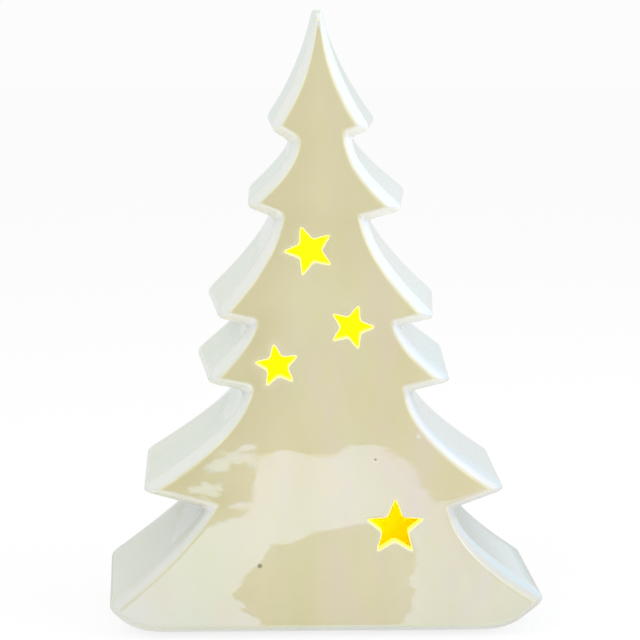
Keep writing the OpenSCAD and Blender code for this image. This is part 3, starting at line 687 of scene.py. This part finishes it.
def glaze_material():
    m = Nodes("pearl_glaze")
    wall, edge, glow = (m.attribute(name + "_share") for name in ("wall", "edge", "glow"))
    x, _, z = m.parts(m.place())
    toward_x, _, toward_z = m.parts(m.new("ShaderNodeNewGeometry").outputs["Normal"])
    # Which way a surface faces; it sets the painted light and shade on the walls and bevels below.
    left, under = (m.remap(facing, -0.15, -0.45) for facing in (toward_x, toward_z))
    right = m.remap(toward_x, 0.0, 0.4, soft=True)
    high = m.span(z, 46, 66, soft=True)
    # The lower corners of the face run out in the pearl tone of the sides.
    ends = m.math("MAXIMUM", m.span(x, -25, -80, 0.0, 0.8), m.span(x, 25, 80, 0.0, 0.35))
    corners = m.times(ends, m.span(z, 45, 8))
    base = m.mix(m.math("MAXIMUM", wall, corners), face_tone(m, x, high), side_tone_with_painted_light(m, z, left, right))
    # Pale bevel band, pooled glaze with painted sheen, and the white closing in at the top of the face.
    whitened = m.math("MAXIMUM", pool_and_sheen_share(m, left, under, high), tip_share(m, x, z, wall))
    base = m.mix(whitened, base, pool_and_sheen_tone(m, z, left, right, under))
    # A painted highlight line round the face, left out along its lower edge.
    sideways = m.times(m.remap(m.math("ABSOLUTE", toward_x), 0.15, 0.35), m.span(z, 10, 30))
    line = m.times(edge, m.math("MAXIMUM", high, sideways), m.remap(m.noise(90, 2), 0.35, 0.6, 0.4, 0.95))
    base = m.mix(line, base, m.mix(high, (0.96, 0.95, 0.88), (0.98, 0.94, 0.66)))
    # Pinholes and a scatter of faint specks.
    for spot, radius in PINHOLES:
        base = m.mix(m.times(near_spot(m, spot, radius), 0.7), base, (0.20, 0.16, 0.08))
    base = m.mix(m.remap(m.noise(520, 1, 0.4), 0.77, 0.82, 0.0, 0.16), base, (0.45, 0.38, 0.25))
    swell = m.bump(m.noise(30, 2, 0.45), 1.0, 0.00022)
    waves = m.bump(m.noise(95, 2, 0.5), 1.0, 0.00003, swell)
    skin = m.bump(m.noise(700, 2, 0.5), 0.35, 0.000006, waves)
    film = m.remap(m.noise(19, 3, 0.5), 0.3, 0.7, 162.0, 190.0)
    # The glow round the star windows is painted emission on the glaze, which is no lamp.
    m.shader(base, 0.02, IOR=1.6, Thin_Film_IOR=1.9, Thin_Film_Thickness=film, Normal=skin,
             Coat_Weight=1.0, Coat_IOR=1.75, Coat_Roughness=0.012,
             Emission_Color=(1.0, 0.84, 0.2), Emission_Strength=m.times(glow, 0.7))
    return m.mat


def clay_material():
    m = Nodes("cut_clay_with_painted_glow")
    base = m.ramp(m.noise(400, 4, 0.6), [(0.3, (0.82, 0.77, 0.42)), (0.7, (0.88, 0.84, 0.5))])
    # The cut clay is given a painted glow, as if the lamps shone through it; it is no lamp.
    m.shader(base, 0.35, Normal=m.bump(m.noise(900, 3, 0.6), 0.4, 0.00003),
             Emission_Color=(1.0, 0.9, 0.15), Emission_Strength=0.25)
    return m.mat


def inside_material():
    m = Nodes("glaze_inside")
    base = m.ramp(m.noise(60, 3, 0.5), [(0.3, (0.80, 0.77, 0.34)), (0.7, (0.86, 0.83, 0.40))])
    # Low down the inside turns amber.
    _, _, z = m.parts(m.place())
    base = m.mix(m.span(z, 40, 75, soft=True), (0.86, 0.50, 0.02), base)
    m.shader(base, 0.4, Normal=m.bump(m.noise(120, 3, 0.6), 0.5, 0.0001))
    return m.mat


def bare_material():
    m = Nodes("bare_clay")
    tones = [(0.25, (0.66, 0.61, 0.52)), (0.6, (0.76, 0.72, 0.63)), (0.85, (0.82, 0.79, 0.71))]
    base = m.ramp(m.noise(180, 5, 0.65), tones)
    m.shader(base, 0.85, Normal=m.bump(m.noise(1400, 4, 0.7), 0.6, 0.00005))
    return m.mat


def plastic(name, color, rough=0.42, grain=900, depth=0.00002):
    m = Nodes(name)
    lighter = tuple(min(1, c * 1.06) for c in color)
    base = m.ramp(m.noise(45, 3), [(0.3, color), (0.7, lighter)])
    scuff = m.remap(m.noise(160, 5, 0.7), 0.35, 0.75, rough * 0.85, min(1, rough * 1.2))
    m.shader(base, scuff, Normal=m.bump(m.noise(grain, 3, 0.6), 0.5, depth))
    return m.mat


def metal(name, color, rough):
    m = Nodes(name)
    grain = m.noise(260, 4, 0.6, m.scaled(1, 1, 12))
    darker = tuple(c * 0.86 for c in color)
    base = m.ramp(grain, [(0.3, darker), (0.7, color)])
    m.shader(base, m.remap(grain, 0.3, 0.7, rough * 0.8, rough * 1.25), Metallic=1.0,
             Normal=m.bump(grain, 0.25, 0.00001))
    return m.mat


def lamp_material():
    m = Nodes("lamp_resin")
    warm = m.ramp(m.noise(500, 2), [(0.3, (1.0, 0.62, 0.06)), (0.7, (1.0, 0.72, 0.12))])
    m.shader(warm, 0.12, IOR=1.5, Emission_Color=warm, Emission_Strength=6.0)
    return m.mat


def dome_material():
    m = Nodes("frosted_dome")
    milk = m.ramp(m.noise(300, 3), [(0.3, (1.0, 0.86, 0.46)), (0.7, (1.0, 0.90, 0.55))])
    m.shader(milk, 0.5, IOR=1.46, Emission_Color=(1.0, 0.62, 0.02), Emission_Strength=0.8,
             Normal=m.bump(m.noise(1100, 3, 0.6), 0.5, 0.00002))
    return m.mat


def board_material():
    m = Nodes("solder_mask")
    weave = m.noise(600, 3, 0.6)
    base = m.ramp(weave, [(0.3, (0.015, 0.13, 0.05)), (0.7, (0.025, 0.18, 0.07))])
    m.shader(base, 0.3, Coat_Weight=0.4, Normal=m.bump(weave, 0.3, 0.00002))
    return m.mat


def resistor_material():
    m = Nodes("resistor_coat")
    _, y, _ = m.parts(m.place())
    tan, red, violet, gold = (0.62, 0.45, 0.24), (0.5, 0.05, 0.03), (0.2, 0.06, 0.3), (0.55, 0.38, 0.08)
    stops = [(0.0, tan), (0.18, red), (0.26, tan), (0.36, violet), (0.44, tan), (0.54, red), (0.62, tan),
             (0.78, gold), (0.86, tan)]
    bands = m.ramp(m.span(y, SOCKET_Y - 3, SOCKET_Y + 3), stops, "CONSTANT")
    m.shader(bands, 0.35, Normal=m.bump(m.noise(800, 2), 0.3, 0.00002))
    return m.mat


# Pieces of the light unit, and the foot pads. Faces that turn by less than the first angle become one, edges
# sharper than the second one are rounded, and edges sharper than the third one stay sharp in the shading.
FLAT_ANGLE, BEVEL_ANGLE, SHARP_ANGLE = 0.6, 32, 38
BEVEL_PROFILE, MERGE_METRES = 0.6, 2e-6


def softened(node, body, material, width, segments=2):
    """A copy of a CAD node with small rounded edges, which stands for it."""
    bm = bmesh.new()
    bm.from_mesh(frame["nodes"][node].data)
    bmesh.ops.remove_doubles(bm, verts=bm.verts, dist=MERGE_METRES)
    bmesh.ops.dissolve_limit(bm, angle_limit=math.radians(FLAT_ANGLE), verts=bm.verts, edges=bm.edges)
    if width:
        least = math.radians(BEVEL_ANGLE)
        sharp = [e for e in bm.edges if len(e.link_faces) == 2 and e.calc_face_angle(0) > least]
        bmesh.ops.bevel(bm, geom=sharp, offset=width * MM, segments=segments, profile=BEVEL_PROFILE,
                        affect="EDGES", clamp_overlap=True)
    bmesh.ops.triangulate(bm, faces=[f for f in bm.faces if len(f.verts) > 4])
    mesh = bpy.data.meshes.new(node + "_soft")
    bm.to_mesh(mesh)
    bm.free()
    mesh.materials.append(material)
    mesh.shade_smooth()
    mesh.set_sharp_from_angle(angle=math.radians(SHARP_ANGLE))
    obj = put_in_scene(node + "_soft", mesh)
    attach(obj, body)
    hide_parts(node)
    return obj


tree = build_shell()
for maker in (glaze_material, clay_material, inside_material, bare_material):
    tree.data.materials.append(maker())
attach(tree, "tree")
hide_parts("tree_shell")

housing = plastic("housing_plastic", (0.80, 0.80, 0.77))
door_plastic = plastic("door_plastic", (0.77, 0.77, 0.74))
black = plastic("switch_plastic", (0.015, 0.015, 0.016), 0.35)
foam = plastic("pad_foam", (0.03, 0.03, 0.032), 0.9, 1500, 0.0001)
silicone = plastic("ring_silicone", (0.55, 0.56, 0.56), 0.35, 600, 0.00001)
steel = metal("cell_steel", (0.62, 0.62, 0.60), 0.24)
zinc = metal("screw_steel", (0.55, 0.55, 0.55), 0.3)
brass = metal("contact_brass", (0.75, 0.55, 0.22), 0.28)
tin = metal("tinned_wire", (0.7, 0.7, 0.68), 0.2)
lens, milk, board, coat = lamp_material(), dome_material(), board_material(), resistor_material()

softened("foot_pads", "tree", foam, 0.3)
softened("unit_base", "light_unit", housing, 0.12)
softened("unit_cap", "light_unit", housing, 0.2)
softened("grip_ring", "light_unit", silicone, 0.15)
softened("dome", "light_unit", milk, 0.1)
softened("circuit_board", "light_unit", board, 0.0)
for letter in "abcd":
    softened("lamp_" + letter, "light_unit", lens, 0.12)
softened("lamp_legs", "light_unit", tin, 0.05, 1)
softened("resistor", "light_unit", coat, 0.4, 3)
softened("resistor_legs", "light_unit", tin, 0.0)
softened("switch_body", "light_unit", black, 0.1)
softened("switch_pins", "light_unit", tin, 0.05, 1)
softened("switch_knob", "switch_knob", black, 0.15)
for letter in "abc":
    softened("cell_" + letter, "cell_" + letter, steel, 0.35, 3)
softened("contact_single", "light_unit", brass, 0.04, 1)
softened("contact_top_bridge", "light_unit", brass, 0.04, 1)
softened("contact_side", "light_unit", brass, 0.04, 1)
softened("contact_door_bridge", "battery_door", brass, 0.04, 1)
softened("battery_door", "battery_door", door_plastic, 0.15)
softened("door_screw", "door_screw", zinc, 0.08)
softened("housing_screws", "light_unit", zinc, 0.08)


# Stage.
# Where the bright table shows in the face, in millimetres across and up the face: the top of the patch and
# the top of the dimmer lens inside it.
PATCH_TOP = [(-72, 52), (-52, 50), (-46.5, 47.5), (-38, 51), (-33, 53), (-30, 56), (-28.5, 76.5), (-22, 79),
             (-15, 79.2), (-4, 78.4), (3.5, 77.4), (6.5, 81.8), (12, 81), (18, 82), (23, 81), (29, 75.5),
             (32, 74), (38, 67), (40.5, 61), (43.5, 57.5), (54, 62), (88, 62)]
LENS_TOP = [(-72, -8), (-42, 10), (-38.5, 19.5), (-34, 25), (-31, 29), (-26.5, 33), (-22, 39.5), (-14, 41),
            (-8, 44), (0, 46.5), (8, 48), (16, 49.3), (26, 48), (35, 40), (38, 37), (88, 30)]
# Ends of the lens across the face, at each height.
LENS_LEFT = [(-20, -27), (6, -27), (8, -26), (9.5, -30), (12.5, -35), (14.5, -33), (16, -35.5), (18, -38.5),
             (20, -42), (60, -42)]
LENS_RIGHT = [(-20, 31), (6, 31), (10, 33), (12, 36), (16, 35.3), (20, 37), (22.5, 34.8), (26, 34),
              (31, 37.5), (34, 36), (60, 37)]
# Loose flakes left of the patch: their upper and lower outlines.
FLAKES = [
    ([(-47.5, 74), (-43, 75.8), (-38, 77), (-29, 77.6)],
     [(-47.5, 73.6), (-45, 71), (-38, 70.8), (-36.6, 74), (-29, 73.4)]),
    ([(-54.5, 64.6), (-50.3, 64.8), (-49, 67), (-46, 66), (-41, 67.2)],
     [(-54.5, 62.8), (-50, 62.4), (-46, 61.2), (-43, 61.6), (-41, 66.8)]),
    ([(-39, 57), (-35, 58.6), (-28, 59)], [(-39, 56.6), (-36, 55.2), (-28, 55)]),
    ([(-39, 77.6), (-35, 78.6), (-33, 80.6), (-28, 82)], [(-39, 77.2), (-34, 77.2), (-28, 79.2)]),
    ([(-43.5, 77.4), (-41, 78.6), (-38, 79)], [(-43.5, 77.2), (-41, 77.6), (-38, 77)])]
# All of them lie between these two.
FACE_SPAN = (-90.0, 110.0)
# The torn edges: how far they are drawn out across the face, then the fineness and the reach of the tears
# that go up and of those that go across, and the soft width of an edge.
TEAR_STRETCH, TEAR_FINE, TEAR_REACH, FRAY_FINE, FRAY_REACH = 0.3, 0.8, 4.0, 0.9, 9.0
EDGE_WIDTH = (-0.2, 0.25)
# How much dimmer the lens is, the heights between which the strip under the face's lower edge starts, and the
# depths between which the plain table beside and behind the tree starts.
LENS_DIM, STRIP, BESIDE, BEHIND = 0.93, (4.2, 3.2), (-34.0, -10.0), (230.0, 560.0)
# Half the floor's size, in metres, and how evenly bright it looks to the camera.
FLOOR_HALF, FLOOR_WHITE = 6.0, 0.82
# Glow of the lamps inside the tree, in metres: height, place across, power and colour.
GLOWS = [(0.042, 0.0, 0.05, (1.0, 0.55, 0.0)), (0.085, 0.0, 0.06, (1.0, 0.85, 0.0)),
         (0.122, 0.0, 0.1, (1.0, 0.95, 0.0)), (0.155, -0.002, 0.1, (1.0, 0.97, 0.0))]
GLOW_BACK, GLOW_RADIUS = 0.004, 0.008


def face_place(m):
    """The point of the face in which the camera sees each point of the floor, in millimetres."""
    x, y, _ = m.parts(m.new("ShaderNodeNewGeometry").outputs["Position"])
    x, y = m.times(x, 1 / MM), m.times(y, 1 / MM)
    ahead = m.math("MAXIMUM", m.math("SUBTRACT", FRONT, y), 0.0)
    share = m.math("DIVIDE", 1.0, m.math("ADD", ahead, CAMERA_AHEAD))
    up = m.times(ahead, share, CAMERA_UP)
    across = m.times(m.math("SUBTRACT", x, CAMERA_X), share, CAMERA_AHEAD)
    return m.math("ADD", across, CAMERA_SIDE), up, y


def below(m, a, b):
    return m.remap(m.math("SUBTRACT", b, a), *EDGE_WIDTH)


def limit(m, at, points):
    return m.line(at, points, *FACE_SPAN)


def torn_place(m, x, up):
    """The same point moved a little, so that what is drawn there gets torn edges."""
    spot = m.new("ShaderNodeCombineXYZ")
    m.link(m.times(x, TEAR_STRETCH), spot.inputs[0])
    m.link(up, spot.inputs[1])
    torn = m.noise(TEAR_FINE, 3, 0.65, spot.outputs[0])
    frayed = m.noise(FRAY_FINE, 2, 0.7, spot.outputs[0])
    x = m.math("ADD", x, m.times(m.math("SUBTRACT", frayed, 0.5), FRAY_REACH))
    return x, m.math("ADD", up, m.times(m.math("SUBTRACT", torn, 0.5), TEAR_REACH))


def table_glow(m, x, z):
    """Brightness of the table as the glazed face mirrors it."""
    patch = below(m, z, limit(m, x, PATCH_TOP))
    for top, foot in FLAKES:
        flake = m.times(below(m, z, limit(m, x, top)), below(m, limit(m, x, foot), z))
        ends = m.times(below(m, top[0][0], x), below(m, x, top[-1][0]))
        patch = m.math("MAXIMUM", patch, m.times(flake, ends))
    sides = m.times(below(m, limit(m, z, LENS_LEFT), x), below(m, x, limit(m, z, LENS_RIGHT)))
    lens = m.times(below(m, z, limit(m, x, LENS_TOP)), sides)
    return m.times(patch, m.math("SUBTRACT", 1.0, m.times(lens, LENS_DIM)))


def mirrored_table(m):
    """Painted reflection: colour of the floor for mirror rays only, dark, with the bright patch in front of
    the tree.
    """
    x, up, y = face_place(m)
    x, z = torn_place(m, x, up)
    sheet = m.mix(m.remap(x, 0.0, 50.0), (1.0, 0.88, 1.0), (0.55, 0.46, 0.70))
    sheet = m.mix(m.remap(x, -30.0, -65.0), sheet, (0.86, 0.86, 1.0))
    color = m.mix(table_glow(m, x, z), (0.06, 0.055, 0.045), sheet)
    color = m.mix(m.remap(up, *STRIP), color, (0.92, 0.92, 0.84))
    color = m.mix(m.remap(y, *BESIDE), color, (0.62, 0.65, 0.60))
    return m.mix(m.remap(y, *BEHIND), color, (0.80, 0.83, 0.81))


def stage_floor():
    mesh = bpy.data.meshes.new("floor")
    r = FLOOR_HALF
    mesh.from_pydata([(-r, -r, 0), (r, -r, 0), (r, r, 0), (-r, r, 0)], [], [(0, 1, 2, 3)])
    floor = put_in_scene("floor", mesh)
    m = Nodes("floor_white_with_painted_reflection")
    glow, white = (m.new("ShaderNodeEmission") for _ in range(2))
    m.link(mirrored_table(m), glow.inputs["Color"])
    lit = m.new("ShaderNodeBsdfDiffuse")
    m.put((0.93, 0.93, 0.93), lit.inputs["Color"])
    path = m.new("ShaderNodeLightPath")
    pale = m.blend(FLOOR_WHITE, lit.outputs[0], white.outputs[0])
    plain = m.blend(path.outputs["Is Camera Ray"], lit.outputs[0], pale)
    # Mirror rays see the painted reflection instead of the white floor.
    m.link(m.blend(path.outputs["Is Glossy Ray"], plain, glow.outputs[0]), m.out.inputs["Surface"])
    mesh.materials.append(m.mat)


def world_light():
    """Even white room. Reflections see it darker in front of the tree, greener left and bluer right of it."""
    world = bpy.data.worlds.new("studio")
    bpy.context.scene.world = world
    world.use_nodes = True
    w = Nodes.around(world.node_tree, "ShaderNodeOutputWorld")
    x, y, _ = w.parts(w.new("ShaderNodeTexCoord").outputs["Generated"])
    sides = w.mix(w.remap(x, -0.7, 0.7), (0.70, 0.73, 0.67), (0.82, 0.90, 0.90))
    room = w.mix(w.remap(y, -0.75, -0.25, soft=True), (0.10, 0.095, 0.08), sides)
    path = w.new("ShaderNodeLightPath")
    shades = []
    for color in ((0.86, 0.86, 0.86), room, (0.975, 0.975, 0.975)):
        shade = w.new("ShaderNodeBackground")
        w.put(color, shade.inputs["Color"])
        shades.append(shade.outputs[0])
    mirrored = w.blend(path.outputs["Is Glossy Ray"], shades[0], shades[1])
    w.link(w.blend(path.outputs["Is Camera Ray"], mirrored, shades[2]), w.out.inputs["Surface"])


def area_light(name, spot, aim, size, power):
    data = bpy.data.lights.new(name, "AREA")
    data.shape, data.size, data.size_y = "RECTANGLE", size[0], size[1]
    data.energy = power
    light = put_in_scene(name, data)
    light.location = spot
    light.rotation_euler = (Vector(aim) - Vector(spot)).to_track_quat("-Z", "Y").to_euler()
    light.visible_glossy = False


def glow_light(z, x, power, color):
    data = bpy.data.lights.new("glow", "POINT")
    data.energy, data.color, data.shadow_soft_size = power, color, GLOW_RADIUS
    light = put_in_scene("glow", data)
    light.location = (x, GLOW_BACK, z)
    light.parent = frame["bodies"]["light_unit"]


stage_floor()
world_light()
area_light("key", (-0.5, -0.35, 0.75), (0, 0, 0.12), (0.5, 0.5), 2.0)
area_light("fill", (0.7, -0.2, 0.5), (0, 0, 0.12), (0.5, 0.6), 2.6)
for row in GLOWS:
    glow_light(*row)

# Camera.
camera_data = bpy.data.cameras.new("camera")
camera_data.sensor_width = SENSOR
camera_data.lens = FOCAL_PIXELS / PHOTO_PIXELS * SENSOR
camera = put_in_scene("camera", camera_data)
camera.location = [c * MM for c in (CAMERA_X, CAMERA_BACK, CAMERA_UP)]
camera.rotation_euler = (math.radians(90 - CAMERA_PITCH), 0, math.radians(-CAMERA_TURN))
bpy.context.scene.camera = camera
bpy.context.scene.view_settings.view_transform = "Standard"
